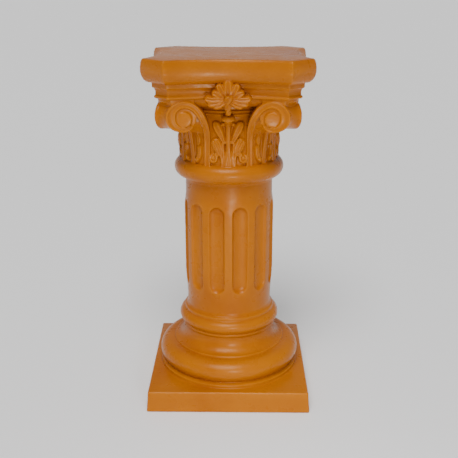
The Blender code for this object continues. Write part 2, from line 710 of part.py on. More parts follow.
def build_column():
    """The column: a turned core, its flutes cut out and everything else joined on."""
    for item in list(bpy.data.objects):
        bpy.data.objects.remove(item)
    scene = bpy.context.scene.collection
    ornament = bpy.data.collections.new("ornament")
    scene.children.link(ornament)
    guides = bpy.data.collections.new("guides")
    scene.children.link(guides)

    core = bmesh.new()
    add_turned(core, base_profile() + shaft_profile() + neck_profile(), ROUND_STEPS)
    column = new_object("column", core, scene)
    column.data.materials.append(plaster_paint())

    cutter = flute_cutter(guides)
    ornament_slabs(ornament)
    ornament_scrolls(ornament)
    ornament_leaves(ornament)
    ornament_side_leaves(ornament)
    ornament_flowers(ornament)
    flutes = column.modifiers.new("flutes", "BOOLEAN")
    flutes.operation = "DIFFERENCE"
    flutes.object = cutter
    flutes.solver = "EXACT"
    joined = column.modifiers.new("ornament", "BOOLEAN")
    joined.operation = "UNION"
    joined.operand_type = "COLLECTION"
    joined.collection = ornament
    joined.solver = "EXACT"
    apply_modifiers(column)
    lighter = column.modifiers.new("lighter", "DECIMATE")
    lighter.decimate_type = "COLLAPSE"
    lighter.ratio = KEPT_TRIANGLES
    apply_modifiers(column)
    for item in list(ornament.objects) + [cutter]:
        bpy.data.objects.remove(item)


build_column()
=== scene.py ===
"""The round column's looks: its cast surface in full relief, ochre paint, floor, light and camera.

Metres, +Z up. The origin is the centre of the underside, and the faces of the capital look
along -Y, +X, +Y and -X. The capital's relief is modelled on the face at -Y and turned round.
"""

from math import atan2, cos, pi, radians, sin, sqrt

import bmesh
import bpy
from mathutils import Matrix, Vector


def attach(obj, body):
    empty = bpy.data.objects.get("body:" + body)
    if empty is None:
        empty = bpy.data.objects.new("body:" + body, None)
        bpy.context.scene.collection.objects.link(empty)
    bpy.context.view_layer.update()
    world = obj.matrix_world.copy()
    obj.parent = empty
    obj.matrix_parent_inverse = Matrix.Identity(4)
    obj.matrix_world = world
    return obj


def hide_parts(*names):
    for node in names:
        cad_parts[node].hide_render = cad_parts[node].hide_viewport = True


FACES = 4
QUARTER = pi / 2.0
SIDES = (-1, 1)

# Levels of the turned mouldings
PLINTH_TOP = 0.0400
DISC_TOP = 0.0462
LOWER_TORUS_TOP = 0.0902
LOWER_FILLET_TOP = 0.0932
SCOTIA_WAIST = 0.1189
SCOTIA_TOP = 0.1246
MIDDLE_FILLET_TOP = 0.1288
UPPER_TORUS_TOP = 0.1558
SHAFT_BOTTOM = 0.1618
ASTRAGAL_BOTTOM = 0.4238
BELL_BOTTOM = 0.4588
ABACUS_BOTTOM = 0.5793

# Half width of the plinth and radii of the turned mouldings
PLINTH_HALF = 0.1500
PLINTH_DRAFT = 0.0028
PLINTH_EDGE = 0.0016
PLINTH_FOOT = 0.00001
DISC_RADIUS = 0.1357
LOWER_TORUS_RADIUS = 0.1374
LOWER_FILLET_RADIUS = 0.1080
SCOTIA_RADIUS = 0.0885
MIDDLE_FILLET_RADIUS = 0.0915
UPPER_TORUS_RADIUS = 0.0972
UPPER_FILLET_RADIUS = 0.0870
SHAFT_FOOT_RADIUS = 0.0812
SHAFT_RADIUS = 0.0846
SHAFT_NECK_RADIUS = 0.0818
SHAFT_FLARE = 0.0022
ASTRAGAL_RADIUS = 0.1023
BELL_RADIUS = 0.0882
BELL_STEP = 0.0010

# Where the shaft swells above its foot, and where it tapers below the astragal
SWELL_START = 0.0200
SWELL_RISE = 0.0600
TAPER_DROP = 0.0600
TAPER_RISE = 0.0300

# Flutes
FLUTE_COUNT = 12
FLUTE_WIDTH = 0.0288
FLUTE_DEPTH = 0.0078
FLUTE_FOOT = 0.2098
FLUTE_HEAD = 0.3788

# Bell's lip: rings of (drop below the lip, half height, projection), and a flare above them
LIP_DROP = 0.0240
LIP_RINGS = ((0.0062, 0.0022, 0.0030), (0.0004, 0.0020, 0.0038))
LIP_FLARE = 0.0145
LIP_FLARE_START = 0.0030

# Abacus: levels from its underside, and insets from its widest outline
ABACUS_REACH = 0.1480
ABACUS_CUT = 0.0425
ABACUS_HOLLOW = 0.0225
ABACUS_HEIGHT = 0.06698
RIDGE_TOP = 0.0060
RIDGE_INSET = 0.0186
RIDGE_SWELL = 0.0004
BAND_TOP = 0.0190
BAND_INSET = 0.0205
FILLET_TOP = 0.0270
FILLET_INSET = 0.0155
OVOLO_BELLY = 0.0486
OVOLO_BOTTOM_INSET = 0.0130
OVOLO_TOP_INSET = 0.0044
UNDERCUT_INSET = 0.0211
UNDERCUT_LEVEL = 0.0001

# Neck under the abacus: rows of (further inset, share of its drop), from the bottom up
NECK_INSET = 0.0235
NECK_DROP = 0.0150
NECK_ROWS = ((0.0105, 1.0), (0.0055, 0.75), (0.0022, 0.45), (0.0, 0.0))

# Corner scrolls: place, turn and widths of the bands
SCROLL_FACE_INSET = 0.0195
SCROLL_OVERHANG = 0.0045
SCROLL_RADIUS = 0.0263
SCROLL_DROP = 0.0035
SCROLL_RELIEF = 0.0045
SCROLL_TURN_SHIFT = 0.0047
SCROLL_TAIL_RADIUS = 0.0137
STEM_HALF_WIDTH = 0.0056
SIDE_HALF_WIDTH = 0.0082
FOOT_HALF_WIDTH = 0.0040
END_HALF_WIDTH = 0.0030
STEM_OFFSET = 0.0375
STEM_HEIGHT = 0.0540
STEM_LIFT_START = 0.0430
STEM_LIFT_HEIGHT = 0.0490
STEM_RELIEF = 0.0045
STEM_THICKNESS = 0.0300
ARCH_THICKNESS = 0.0600
ARCH_THICKENING = 0.0150
CHANNEL_DEPTH = 0.0016
EDGE_EASE = 0.0009
STEM_STEPS = 10
ARCH_STEPS = 24
TURN_STEPS = 40
TAIL_STEPS = 10

# Scroll's eye: rows of (share of its radius, height as a share of its dome)
EYE_RADIUS = 0.0127
EYE_INWARD = 0.0045
EYE_DROP = 0.0045
EYE_DOME = 0.0010
EYE_RIM = 0.0006
EYE_ROWS = ((0.96, 0.30), (0.88, 0.60), (0.7, 0.85), (0.4, 1.0), (0.02, 1.0))

# Solids behind the scrolls: drum, arm, web, pad and knob
DRUM_INSET = 0.0004
DRUM_HOLLOW = 0.0034
DRUM_RIM = 0.14
DRUM_RECESS = 0.6 * SCROLL_RELIEF
ARM_RECESS = 0.0100
ARM_DROP = 0.0118
ARM_REACH = 0.0120
WEB_DROP = 0.0300
WEB_OVERLAP = 0.0020
WEB_RELIEF = 0.0008
PAD_RECESS = 0.0032
PAD_INNER = 0.0220
PAD_OUTER = 0.0150
PAD_TOP_OUTER = 0.0205
KNOB_REACH = 0.1055
KNOB_DROP = 0.0022
KNOB_RADII = (0.0165, 0.0085, 0.0062)

# Middle rib of the leaf on each face
RIB_HEIGHT = 0.0860
RIB_START = -0.04
RIB_HALF_WIDTH = 0.0042
RIB_FOOT_HALF_WIDTH = 0.0105
RIB_FOOT_SHARE = 0.42
RIB_HEAD_SHARE = 0.6
RIB_HEAD_WIDENING = 0.0012
RIB_TIP_SHARE = 0.82
RIB_RELIEF = 0.0065
RIB_RIDGES = 3.0
RIB_FOOT_RIDGES = 5.0
RIB_GROOVE = 0.0011

# Lobes on each side of the leaf: three points of (across, height on the bell), half width, relief,
# ridges, depth of the grooves, share of the width at the start, share of the length to full width
UPPER_LOBE = (((0.0060, 0.040), (0.0125, 0.055), (0.0235, 0.0795)), 0.0086, 0.0080, 2, 0.0026, 0.4, 0.75)
MIDDLE_LOBE = (((0.0150, 0.018), (0.0165, 0.037), (0.0262, 0.0485)), 0.0090, 0.0080, 4, 0.0026, 0.55, 0.45)
STALK = (((0.0086, -0.002), (0.0076, 0.022), (0.0100, 0.048)), 0.0023, 0.0044, 0, 0.0, 1.0, 0.7)
FOOT_STALK = (((0.0118, -0.002), (0.0104, 0.010), (0.0140, 0.024)), 0.0023, 0.0044, 0, 0.0, 1.0, 0.7)
UPPER_SIDE_LOBE = (((0.0560, 0.034), (0.0490, 0.048), (0.0600, 0.0600)), 0.0052, 0.0066, 2, 0.0022, 0.5, 0.4)
LOWER_SIDE_LOBE = (((0.0590, 0.003), (0.0490, 0.017), (0.0525, 0.0350)), 0.0050, 0.0066, 2, 0.0022, 0.5, 0.4)

# Shape of every lobe: width left at its tip, relief at its start and tip, fullness of its section
LOBE_TIP = 0.06
LOBE_START_RELIEF = 0.75
LOBE_TIP_RELIEF = 0.25
LOBE_FULLNESS = 2.6

# Rolled end at a leaf's foot
CURL_ACROSS = 0.0262
CURL_HEIGHT = 0.0142
CURL_RADIUS = 0.0064
CURL_END_RADIUS = 0.0056
CURL_HALF_WIDTH = 0.0026
CURL_RELIEF = 0.0030
CURL_STRETCH = 1.2
CURL_START = 115.0
CURL_END = 395.0

# Beads on the bell: (across, height on the bell, out), radii and tilt
RIB_HEAD = ((0.0, 0.0855, 0.0095), (0.0122, 0.0092, 0.0060), 28)
RIB_NECK = ((0.0, 0.0805, 0.0070), (0.0068, 0.0070, 0.0060), 20)
BUD = ((0.0085, 0.0745, 0.0020), (0.0030, 0.0045, 0.0042), 0)
SIDE_BUD = ((0.0570, 0.0085, 0.0036), (0.0038, 0.0036, 0.0046), 0)
CURL_PAD = ((CURL_ACROSS, CURL_HEIGHT, 0.0), (0.0066, 0.0026, 0.0080), 0)
CURL_BEAD = ((CURL_ACROSS, CURL_HEIGHT, 0.0034), (0.0028, 0.0030, 0.0034), 0)

# Tongue leaf under each corner
TONGUE_START = -0.002
TONGUE_HEIGHT = 0.070
TONGUE_HALF_WIDTH = 0.0056
TONGUE_TIP_HALF_WIDTH = 0.0040
TONGUE_RELIEF = 0.0030
TONGUE_LEAN = 0.0105

# Flower on each side of the abacus
FLOWER_LEVEL = 0.5853
FLOWER_FORWARD = 0.0020
BOSS_RADII = (0.026, 0.0175, 0.021)
PETAL_RELIEF = 0.0050
PETAL_THICKNESS = 0.0078
PETAL_GROOVE = 0.0028
PETAL_ROOT = 0.018
PETAL_START = 0.6
PETAL_WIDEST = 0.45
PETAL_RIDGES = 2

# Petals: three points of (across, height above the flower's level) and half width
MIDDLE_PETAL = ((0.0, -0.004), (0.0, 0.012), (0.0, 0.0270), 0.0098)
SIDE_PETALS = (
    ((0.0060, -0.002), (0.0110, 0.010), (0.0175, 0.0205), 0.0070),
    ((0.0080, -0.003), (0.0170, 0.004), (0.0275, 0.0062), 0.0066),
    ((0.0060, -0.004), (0.0240, -0.0080), (0.0395, -0.0032), 0.0064),
    ((0.0050, -0.006), (0.0210, -0.0135), (0.0350, -0.0120), 0.0066),
    ((0.0040, -0.008), (0.0140, -0.0170), (0.0255, -0.0165), 0.0062),
)

# Twisted pistil of the flower
PISTIL_RADIUS = 0.0064
PISTIL_TAPER = 0.62
PISTIL_TIP = 0.3
PISTIL_END = 0.07
PISTIL_FLATNESS = 0.9
PISTIL_FORWARD = 0.0010
PISTIL_RISE = 0.0015
PISTIL_LENGTH = 0.0360
PISTIL_LEAN = 0.0200
PISTIL_STRANDS = 3.0
PISTIL_TWIST = 17.0
PISTIL_SWELL = 0.24

# How deep the joined forms reach into each other
ROOT = 0.0060

# Size of the cells that the joined forms are cast in, and the triangles kept of each part
CAPITAL_CELL = 0.0009
LOWER_CELL = 0.0010
CAPITAL_TRIANGLES = 130000
LOWER_TRIANGLES = 62000
SMOOTHING_ROUNDS = 2

# Paint: tones at positions of the ramp, the sizes and ranges of its unevenness, and the pointiness range and
# tone shift of painted shade in hollows and painted highlight on ridges
PAINT_TONES = ((0.10, (0.265, 0.052, 0.0)), (0.44, (0.365, 0.100, 0.0)), (0.80, (0.440, 0.134, 0.0)))
TONE_NOISE = {"Scale": 7.0, "Detail": 4.0, "Roughness": 0.55}
GLOSS_NOISE = {"Scale": 45.0, "Detail": 3.0}
GRAIN_NOISE = {"Scale": 110.0, "Detail": 5.0}
# Painted shade and highlight: pointiness range, and the tone shift that darkens hollows and creases and
# lightens ridges
PAINTED_SHADE_POINTINESS = (0.42, 0.58)
PAINTED_SHADE_AND_HIGHLIGHT = (-0.34, 0.34)
GLOSS_NOISE_RANGE = (0.3, 0.7)
ROUGHNESS = (0.25, 0.35)
GRAIN_STRENGTH = 0.18
GRAIN_DISTANCE = 0.002
SHEEN_LEVEL = 0.23
SHEEN_TINT = (1.0, 0.86, 0.62, 1.0)

# Floor
FLOOR_SIZE = 60.0
FLOOR_DROP = 0.0005
FLOOR_TONES = (0.88, 0.91)
FLOOR_NOISE = {"Scale": 3.0}
FLOOR_ROUGHNESS = 0.7

# Soft light in front, soft sun, and surroundings that grow paler behind and at the horizon
FRONT_LIGHT_PLACE = (0.13, -0.88, 0.27)
FRONT_LIGHT_AIM = (0.0, 0.0, 0.36)
FRONT_LIGHT_POWER = 2.6
FRONT_LIGHT_SIZE = 0.14
SUN_DIRECTION = (0.14, 1.0, -1.5)
SUN_STRENGTH = 3.2
SUN_ANGLE = 35.0
BEHIND_RANGE = (-0.2, 0.9)
BEHIND_GLOW = (0.27, 0.46)
HORIZON_RANGE = (0.05, 0.28)
HORIZON_GLOW = (0.20, 0.0)

# Camera, in the photograph's place: its frame is square
CAMERA_DISTANCE = 1.37835
CAMERA_HEIGHT = 0.77185
CAMERA_PITCH = 18.449
CAMERA_YAW = 0.775
CAMERA_LENS = 58.926
CAMERA_SENSOR = 36.0


def smooth_step(value):
    """0 below 0, 1 above 1, and a smooth rise between."""
    value = min(max(value, 0.0), 1.0)
    return value * value * (3.0 - 2.0 * value)


def mix(low, high, share):
    """Value at a share of the way from low to high."""
    return low + (high - low) * share


def full_turn(steps):
    """Angles in even steps once round a circle."""
    return [2.0 * pi * i / steps for i in range(steps)]


def side_to_side(steps):
    """Values in even steps from -1 to 1."""
    return [-1.0 + 2.0 * i / steps for i in range(steps + 1)]


def arc(centre, radii, start, end, steps):
    """Points (across, up) on an elliptic arc, by angles in degrees: 0 is outward, 90 is up."""
    angles = [radians(start + (end - start) * i / steps) for i in range(steps + 1)]
    return [(centre[0] + radii[0] * cos(a), centre[1] + radii[1] * sin(a)) for a in angles]


def curve_through(start, bend, end, steps=24):
    """Points on the quadratic curve from start to end that leans towards bend."""
    points = []
    for i in range(steps + 1):
        t = i / steps
        ends = [(1 - t) ** 2 * a + t * t * b for a, b in zip(start, end)]
        points.append(tuple(a + 2 * t * (1 - t) * b for a, b in zip(ends, bend)))
    return points


def across(path, i):
    """Unit direction across a flat path at its point i."""
    before = path[max(i - 1, 0)]
    after = path[min(i + 1, len(path) - 1)]
    along = atan2(after[1] - before[1], after[0] - before[0])
    return -sin(along), cos(along)


def dome_height(v, power):
    """Height, from 0 to 1, of a rounded cross-section at v, which runs from -1 to 1 across it."""
    return sqrt(max(1.0 - abs(v) ** power, 0.0))


def groove_share(v, ridges):
    """Share of the grooves' depth at v, from -1 to 1 across a number of ridges."""
    return 0.5 + 0.5 * cos(pi * ridges * (v + 1.0))


def swap_sides(points):
    """Points mirrored in the corner's diagonal: from the face at -Y to the face at +X."""
    return [Vector((-point.y, -point.x, point.z)) for point in points]


def add_solid(mesh, rings):
    """Add one closed solid through a row of rings with equal numbers of points."""
    loops = [[mesh.verts.new(point) for point in ring] for ring in rings]
    faces = [mesh.faces.new(loops[0][::-1]), mesh.faces.new(loops[-1])]
    for near, far in zip(loops, loops[1:]):
        for i in range(len(near)):
            faces.append(mesh.faces.new((near[i - 1], near[i], far[i], far[i - 1])))
    bmesh.ops.recalc_face_normals(mesh, faces=faces)


def add_turned(mesh, profile, steps):
    """Add a solid turned round the column's axis from (radius, height) pairs."""
    turns = full_turn(steps)
    add_solid(mesh, [[(r * cos(t), r * sin(t), z) for t in turns] for r, z in profile])


def add_ball(mesh, centre, radii, tilt=0.0, yaw=0.0):
    """Add an ellipsoid, tilted about the X axis and then turned about Z by angles in degrees."""
    turn = Matrix.Rotation(radians(yaw), 4, "Z") @ Matrix.Rotation(radians(tilt), 4, "X")
    place = Matrix.Translation(centre) @ turn @ Matrix.Diagonal((*radii, 1.0))
    bmesh.ops.create_uvsphere(mesh, u_segments=24, v_segments=14, radius=1.0, matrix=place)


def turn_copies(mesh, copies):
    """Repeat everything in a mesh evenly about the Z axis."""
    first = mesh.verts[:] + mesh.edges[:] + mesh.faces[:]
    for copy in range(1, copies):
        made = bmesh.ops.duplicate(mesh, geom=first)["geom"]
        points = [item for item in made if isinstance(item, bmesh.types.BMVert)]
        turn = Matrix.Rotation(2.0 * pi * copy / copies, 3, "Z")
        bmesh.ops.rotate(mesh, verts=points, matrix=turn)


def new_object(name, mesh):
    """Finish a mesh and link it as an object."""
    bmesh.ops.triangulate(mesh, faces=[face for face in mesh.faces if len(face.verts) > 4])
    data = bpy.data.meshes.new(name)
    mesh.to_mesh(data)
    mesh.free()
    item = bpy.data.objects.new(name, data)
    bpy.context.scene.collection.objects.link(item)
    return item


def apply_modifiers(item):
    """Give an object its modified mesh for good."""
    evaluated = item.evaluated_get(bpy.context.evaluated_depsgraph_get())
    old = item.data
    item.data = bpy.data.meshes.new_from_object(evaluated)
    item.modifiers.clear()
    bpy.data.meshes.remove(old)


def combine(item, other, operation, solver):
    """Unite a closed object with another, or cut the other out of it, and remove the other."""
    boolean = item.modifiers.new("combine", "BOOLEAN")
    boolean.operation = operation
    boolean.object = other
    boolean.solver = solver
    apply_modifiers(item)
    bpy.data.objects.remove(other)


# Lower part: plinth, base and fluted shaft


def torus_arc(radius, bottom, top, start, end, steps):
    """Half-round moulding between two levels with its belly at a radius."""
    half = (top - bottom) / 2.0
    return arc((radius - half, bottom + half), (half, half), start, end, steps)


def base_profile():
    """Outline of the base mouldings from the plinth up to the shaft."""
    waist_height = SCOTIA_WAIST - LOWER_FILLET_TOP
    scotia = (LOWER_FILLET_RADIUS - SCOTIA_RADIUS, waist_height)
    points = [(DISC_RADIUS, PLINTH_TOP - ROOT), (DISC_RADIUS, DISC_TOP)]
    points += torus_arc(LOWER_TORUS_RADIUS, DISC_TOP, LOWER_TORUS_TOP, start=-60, end=88, steps=30)
    points += [(LOWER_FILLET_RADIUS, LOWER_TORUS_TOP), (LOWER_FILLET_RADIUS, LOWER_FILLET_TOP)]
    points += arc((LOWER_FILLET_RADIUS, SCOTIA_WAIST), scotia, start=262, end=165, steps=18)
    points += [(MIDDLE_FILLET_RADIUS, SCOTIA_TOP), (MIDDLE_FILLET_RADIUS, MIDDLE_FILLET_TOP)]
    points += torus_arc(UPPER_TORUS_RADIUS, MIDDLE_FILLET_TOP, UPPER_TORUS_TOP, start=-62, end=72, steps=22)
    points += [(UPPER_FILLET_RADIUS, UPPER_TORUS_TOP), (UPPER_FILLET_RADIUS, SHAFT_BOTTOM)]
    return points


def shaft_profile():
    """Outline of the shaft: it swells between its foot and its neck, and flares at both ends."""
    foot = SHAFT_FOOT_RADIUS
    neck = SHAFT_NECK_RADIUS
    shares = [i / 8 for i in range(9)]
    points = [(foot + SHAFT_FLARE, SHAFT_BOTTOM + 0.5 * SHAFT_FLARE)]
    points += [(foot, SHAFT_BOTTOM + 3.0 * SHAFT_FLARE)]
    for share in shares:
        level = SHAFT_BOTTOM + SWELL_START + SWELL_RISE * share
        points.append((mix(foot, SHAFT_RADIUS, smooth_step(share)), level))
    for share in shares:
        level = ASTRAGAL_BOTTOM - TAPER_DROP + TAPER_RISE * share
        points.append((mix(SHAFT_RADIUS, neck, smooth_step(share)), level))
    points += [(neck, ASTRAGAL_BOTTOM - 3.0 * SHAFT_FLARE), (neck + SHAFT_FLARE, ASTRAGAL_BOTTOM)]
    return points + [(neck + SHAFT_FLARE, ASTRAGAL_BOTTOM + ROOT)]


def make_flutes():
    """Round-ended cutters for the flutes, with a plain land in the middle of each face."""
    mesh = bmesh.new()
    half = FLUTE_WIDTH / 2.0
    surface = sqrt(SHAFT_RADIUS ** 2 - half ** 2)
    depth = FLUTE_DEPTH - (SHAFT_RADIUS - surface)
    foot = arc((0.0, FLUTE_FOOT + half), (1.0, half), start=-88, end=0, steps=16)
    head = arc((0.0, FLUTE_HEAD - half), (1.0, half), start=0, end=88, steps=16)
    turn = Matrix.Rotation(pi / FLUTE_COUNT, 3, "Z")
    rings = []
    for share, level in foot + head:
        ring = []
        for t in full_turn(48):
            out = share * depth * sin(t) if sin(t) < 0.0 else 2.0 * FLUTE_DEPTH * sin(t)
            ring.append(turn @ Vector((share * half * cos(t), -(surface + out), level)))
        rings.append(ring)
    add_solid(mesh, rings)
    turn_copies(mesh, FLUTE_COUNT)
    return new_object("flute_cutters", mesh)


def add_plinth(mesh):
    """Add the square plinth, slightly wider at its foot, with eased edges."""
    rows = [
        (PLINTH_HALF + PLINTH_DRAFT, PLINTH_FOOT),
        (PLINTH_HALF, PLINTH_TOP - PLINTH_EDGE),
        (PLINTH_HALF - PLINTH_EDGE, PLINTH_TOP),
    ]
    rings = []
    for reach, level in rows:
        near = reach - PLINTH_EDGE
        ring = []
        for face in range(FACES):
            turn = Matrix.Rotation(QUARTER * face, 3, "Z")
            ring += [turn @ Vector((-near, -reach, level)), turn @ Vector((near, -reach, level))]
        rings.append(ring)
    add_solid(mesh, rings)


def make_lower():
    """Plinth, base mouldings and fluted shaft."""
    turned = bmesh.new()
    add_turned(turned, base_profile() + shaft_profile(), 180)
    lower = new_object("lower", turned)
    combine(lower, make_flutes(), "DIFFERENCE", "EXACT")
    mesh = bmesh.new()
    mesh.from_mesh(lower.data)
    add_plinth(mesh)
    mesh.to_mesh(lower.data)
    mesh.free()
    return lower


# Abacus


def side_hollow():
    """Radius of the arc that hollows a side of the abacus, and its centre's distance."""
    half_chord = ABACUS_REACH - ABACUS_CUT
    radius = (half_chord ** 2 + ABACUS_HOLLOW ** 2) / (2.0 * ABACUS_HOLLOW)
    return radius, ABACUS_REACH - ABACUS_HOLLOW + radius


def side_depth(x, inset):
    """Distance from the axis to a side of the abacus, inset from its widest outline."""
    radius, distance = side_hollow()
    return distance - sqrt((radius + inset) ** 2 - x ** 2)


def corner_x(inset):
    """Where a side meets the cut corner, measured along the side from its middle."""
    radius, distance = side_hollow()
    cut = (2.0 * ABACUS_REACH - ABACUS_CUT) / 2.0 - inset / sqrt(2.0)
    rest = 2.0 * cut ** 2 - 2.0 * distance * cut + distance ** 2 - (radius + inset) ** 2
    return cut - (distance - sqrt(distance ** 2 - 2.0 * rest)) / 2.0


def abacus_ring(inset, level):
    """Outline of the abacus: four hollow sides joined by the cut corners."""
    reach = corner_x(inset)
    steps = 28
    side = [-reach + 2.0 * reach * i / steps for i in range(steps + 1)]
    points = []
    for face in range(FACES):
        turn = Matrix.Rotation(QUARTER * face, 3, "Z")
        points += [turn @ Vector((x, -side_depth(x, inset), level)) for x in side]
    return points


def add_abacus(mesh):
    """Add the abacus: neck, ridge, band, fillet and swelling ovolo."""
    belly = ABACUS_BOTTOM + OVOLO_BELLY
    bottom = ABACUS_BOTTOM + FILLET_TOP
    top = ABACUS_BOTTOM + ABACUS_HEIGHT
    rows = [(NECK_INSET + inset, ABACUS_BOTTOM - share * NECK_DROP) for inset, share in NECK_ROWS]
    rows += [
        (UNDERCUT_INSET, ABACUS_BOTTOM + UNDERCUT_LEVEL),
        (RIDGE_INSET, ABACUS_BOTTOM + 0.2 * RIDGE_TOP),
        (RIDGE_INSET - RIDGE_SWELL, ABACUS_BOTTOM + 0.5 * RIDGE_TOP),
        (RIDGE_INSET, ABACUS_BOTTOM + 0.8 * RIDGE_TOP),
        (BAND_INSET, ABACUS_BOTTOM + RIDGE_TOP),
        (BAND_INSET, ABACUS_BOTTOM + 0.68 * BAND_TOP),
        (mix(BAND_INSET, FILLET_INSET, 0.35), ABACUS_BOTTOM + 0.9 * BAND_TOP),
        (FILLET_INSET, ABACUS_BOTTOM + BAND_TOP),
        (FILLET_INSET, bottom),
    ]
    under = (OVOLO_BOTTOM_INSET, belly - bottom)
    over = (OVOLO_TOP_INSET, top - belly)
    rows += arc((OVOLO_BOTTOM_INSET, belly), under, start=268, end=180, steps=16)
    rows += arc((OVOLO_TOP_INSET, belly), over, start=174, end=90, steps=12)
    add_solid(mesh, [abacus_ring(inset, level) for inset, level in rows])


# Bell and its leaves


def bell_profile():
    """Outline of the astragal and the bell, with the bell's lip, up into the abacus."""
    lip = ABACUS_BOTTOM - LIP_DROP
    points = [(BELL_RADIUS - 2.0 * ROOT, ASTRAGAL_BOTTOM)]
    points += torus_arc(ASTRAGAL_RADIUS, ASTRAGAL_BOTTOM, BELL_BOTTOM, start=-84, end=78, steps=30)
    points += [(BELL_RADIUS, BELL_BOTTOM + BELL_STEP)]
    for drop, half, out in LIP_RINGS:
        points += arc((BELL_RADIUS, lip - drop), (out, half), start=-90, end=90, steps=8)
    flare = (LIP_FLARE, ABACUS_BOTTOM - lip - LIP_FLARE_START)
    points += arc((BELL_RADIUS + LIP_FLARE, lip + LIP_FLARE_START), flare, start=180, end=100, steps=12)
    return points + [(BELL_RADIUS + LIP_FLARE, ABACUS_BOTTOM + ROOT)]


def on_bell(u, level, out):
    """Point at an arc distance u from the middle of the face, out from the bell."""
    angle = u / BELL_RADIUS
    return Vector(((BELL_RADIUS + out) * sin(angle), -(BELL_RADIUS + out) * cos(angle), level))


def on_flower(u, level, out):
    """Point in front of the middle of the abacus's side."""
    return Vector((u, -(side_depth(0.0, 0.0) - FLOWER_FORWARD - PETAL_RELIEF + out), level))


def add_lobe(mesh, place, path, half_width, relief, ridges, ridge_depth, start, widest, root=ROOT):
    """Add a leaf lobe along a path of (across, level), ridged lengthwise, with a round end.

    Its width starts at a share, start, and is full from a share of its length, widest.
    """
    length = sum(sqrt((b[0] - a[0]) ** 2 + (b[1] - a[1]) ** 2) for a, b in zip(path, path[1:]))
    rounding = min(half_width / length, 0.5)
    rings = []
    for i, (u, level) in enumerate(path):
        share = i / (len(path) - 1)
        near_end = max(share - 1.0 + rounding, 0.0) / rounding
        close = mix(LOBE_TIP, 1.0, sqrt(max(1.0 - near_end ** 2, 0.0)))
        grown = smooth_step(share / widest)
        half = half_width * mix(start, 1.0, grown) * close
        high = relief * mix(LOBE_START_RELIEF, 1.0, grown) * mix(LOBE_TIP_RELIEF, 1.0, close)
        du, dz = across(path, i)
        ring = [place(u - du * half, level - dz * half, -root)]
        for v in side_to_side(16):
            dome = dome_height(v, LOBE_FULLNESS)
            groove = ridge_depth * groove_share(v, ridges) * dome * close
            ring.append(place(u + du * half * v, level + dz * half * v, high * dome - groove))
        ring.append(place(u + du * half, level + dz * half, -root))
        rings.append(ring)
    add_solid(mesh, rings)


def add_bell_lobe(mesh, side, lobe):
    """Add a lobe on one side of the middle rib."""
    points, *shape = lobe
    curve = [(side * u, BELL_BOTTOM + height) for u, height in points]
    add_lobe(mesh, on_bell, curve_through(*curve), *shape)


def add_bead(mesh, side, bead):
    """Add a small ellipsoid on the bell."""
    (u, height, out), radii, tilt = bead
    add_ball(mesh, on_bell(side * u, BELL_BOTTOM + height, out), radii, tilt)


def add_middle_rib(mesh):
    """Add the middle rib: a spread, finely grooved foot and a slim stalk with two grooves."""
    stations = 24
    rings = []
    for i in range(stations + 1):
        share = RIB_START + (1.0 - RIB_START) * i / stations
        level = BELL_BOTTOM + share * RIB_HEIGHT
        spread = (1.0 - smooth_step(share / RIB_FOOT_SHARE)) ** 1.3
        half = mix(RIB_HALF_WIDTH, RIB_FOOT_HALF_WIDTH, spread)
        half += RIB_HEAD_WIDENING * smooth_step((share - RIB_HEAD_SHARE) / (1.0 - RIB_HEAD_SHARE))
        tip = smooth_step((share - RIB_TIP_SHARE) / (1.0 - RIB_TIP_SHARE))
        high = RIB_RELIEF * (0.75 + 0.35 * share + 0.9 * tip)
        ridges = mix(RIB_RIDGES, RIB_FOOT_RIDGES, spread)
        ring = [on_bell(-half, level, -ROOT)]
        for v in side_to_side(30):
            dome = dome_height(v, 3.0)
            groove = RIB_GROOVE * groove_share(v, ridges) * dome * (abs(v) < 0.97)
            ring.append(on_bell(half * v, level, high * dome - groove))
        ring.append(on_bell(half, level, -ROOT))
        rings.append(ring)
    add_solid(mesh, rings)


def add_curl(mesh, side):
    """Add the rolled end at a leaf's foot: an open ring with a bead in it."""
    u = side * CURL_ACROSS
    level = BELL_BOTTOM + CURL_HEIGHT
    steps = 32
    rings = []
    for i in range(steps + 1):
        share = i / steps
        turn = radians(mix(CURL_START, CURL_END, share))
        half = CURL_HALF_WIDTH * mix(1.0, 0.75, share)
        x = side * cos(turn)
        z = sin(turn)
        ring = []
        for a in full_turn(10):
            reach = mix(CURL_RADIUS, CURL_END_RADIUS, share) + half * cos(a)
            out = CURL_RELIEF + CURL_STRETCH * half * sin(a)
            ring.append(on_bell(u + x * reach, level + CURL_STRETCH * z * reach, out))
        rings.append(ring)
    add_solid(mesh, rings)
    add_bead(mesh, side, CURL_PAD)
    add_bead(mesh, side, CURL_BEAD)


def add_leaf(mesh):
    """Add the leaf in the middle of a face."""
    add_middle_rib(mesh)
    add_bead(mesh, 1, RIB_HEAD)
    add_bead(mesh, 1, RIB_NECK)
    for side in SIDES:
        add_bell_lobe(mesh, side, UPPER_LOBE)
        add_bead(mesh, side, BUD)
        for lobe in (MIDDLE_LOBE, STALK, FOOT_STALK):
            add_bell_lobe(mesh, side, lobe)
        add_curl(mesh, side)


